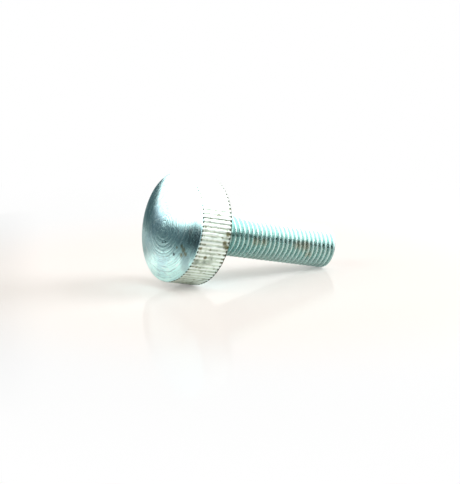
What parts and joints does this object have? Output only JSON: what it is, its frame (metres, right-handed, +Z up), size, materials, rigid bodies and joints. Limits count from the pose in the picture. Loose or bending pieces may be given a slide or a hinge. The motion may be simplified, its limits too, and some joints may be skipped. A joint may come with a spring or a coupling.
{
  "type": "knurled locking screw",
  "caption": "Thumb screw that locks a setting by hand: thick straight-knurled head with a crowned face, and a fine-threaded shank with a flat tip.",
  "frame": {"origin": "on the surface the screw lies on, under the middle of its box", "axes": "+Z up, +X from the head towards the tip as the screw lies, with its axis dipping 12.1 degrees below +X"},
  "size_m": [0.0464, 0.025, 0.026],
  "materials": {
    "zinc_plated_steel": "turned steel, bright zinc plated, with a faint blue-green tint"
  },
  "bodies": {
    "root": {"locking_screw": "zinc_plated_steel"}
  },
  "joints": []
}
